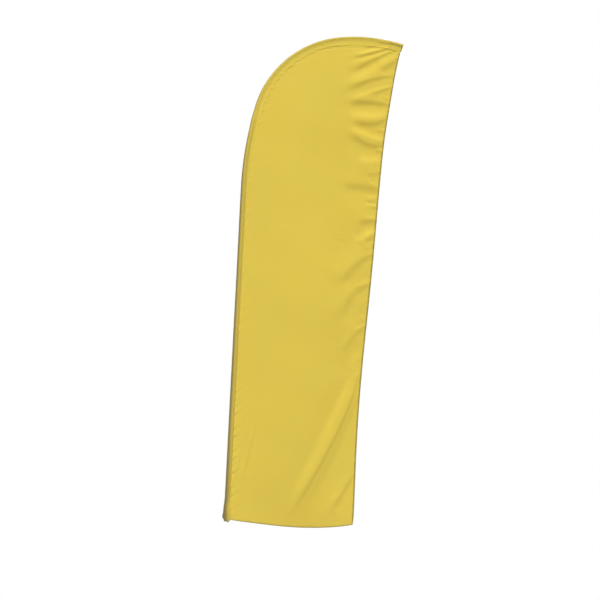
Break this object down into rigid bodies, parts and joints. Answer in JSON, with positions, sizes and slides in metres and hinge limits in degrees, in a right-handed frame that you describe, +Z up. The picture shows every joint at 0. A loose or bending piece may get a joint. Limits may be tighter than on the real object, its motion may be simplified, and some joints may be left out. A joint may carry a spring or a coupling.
{
  "type": "feather flag with pole",
  "caption": "Feather-shaped cloth flag on a sectional pole that bends over at the top, with a pole sleeve, hems, tip pocket and drawcord lock.",
  "frame": {"origin": "centre of the pole's foot, at the mouth of the spindle bore", "axes": "+Z up the straight lower pole, +X from the pole towards the sail's free edge, +Y behind the sail"},
  "size_m": [0.7794, 0.0638, 2.4663],
  "materials": {
    "anodised_tube": "satin",
    "black_nylon": "matte",
    "glass_fibre": "satin",
    "bare_aluminium": "satin",
    "black_rubber": "matte",
    "sail_cloth": "matte",
    "sleeve_cloth": "matte",
    "hem_cloth": "matte",
    "cord_braid": "matte",
    "eyelet_brass": "polished",
    "lock_plastic": "satin",
    "spring_steel": "satin"
  },
  "bodies": {
    "base_pole": {"base_section": "anodised_tube", "foot_bush": "black_nylon"},
    "swivel_bush": {"socket_bush": "black_nylon"},
    "upper_flag": {"mid_section": "glass_fibre", "mid_ferrule": "bare_aluminium", "tip_rod": "glass_fibre", "tip_cap": "black_rubber", "sleeve_lower": "sleeve_cloth", "sleeve_upper": "sleeve_cloth", "sleeve_cuff": "sleeve_cloth", "tip_pocket": "sleeve_cloth", "sail": "sail_cloth", "leech_hem": "hem_cloth", "foot_hem": "hem_cloth", "drawcord_loop": "cord_braid", "drawcord": "cord_braid", "eyelet": "eyelet_brass", "cord_lock_barrel": "lock_plastic", "cord_lock_spring": "spring_steel", "cord_end": "lock_plastic"},
    "lock_button": {"cord_lock_button": "lock_plastic"}
  },
  "joints": [
    {"name": "upper_pole_turn", "type": "hinge", "parent": "base_pole", "child": "swivel_bush", "pos_m": [0, 0, 1], "axis": [0, 0, 1], "continuous": true},
    {"name": "upper_pole_lift", "type": "slide", "parent": "swivel_bush", "child": "upper_flag", "axis": [0, 0, 1], "range_m": [0, 0.09]},
    {"name": "lock_button_press", "type": "slide", "parent": "upper_flag", "child": "lock_button", "axis": [-1, 0, 0], "range_m": [0, 0.0037], "stiffness_N_per_m": 900, "springref_m": -0.006, "deforming": ["cord_lock_spring"]}
  ]
}
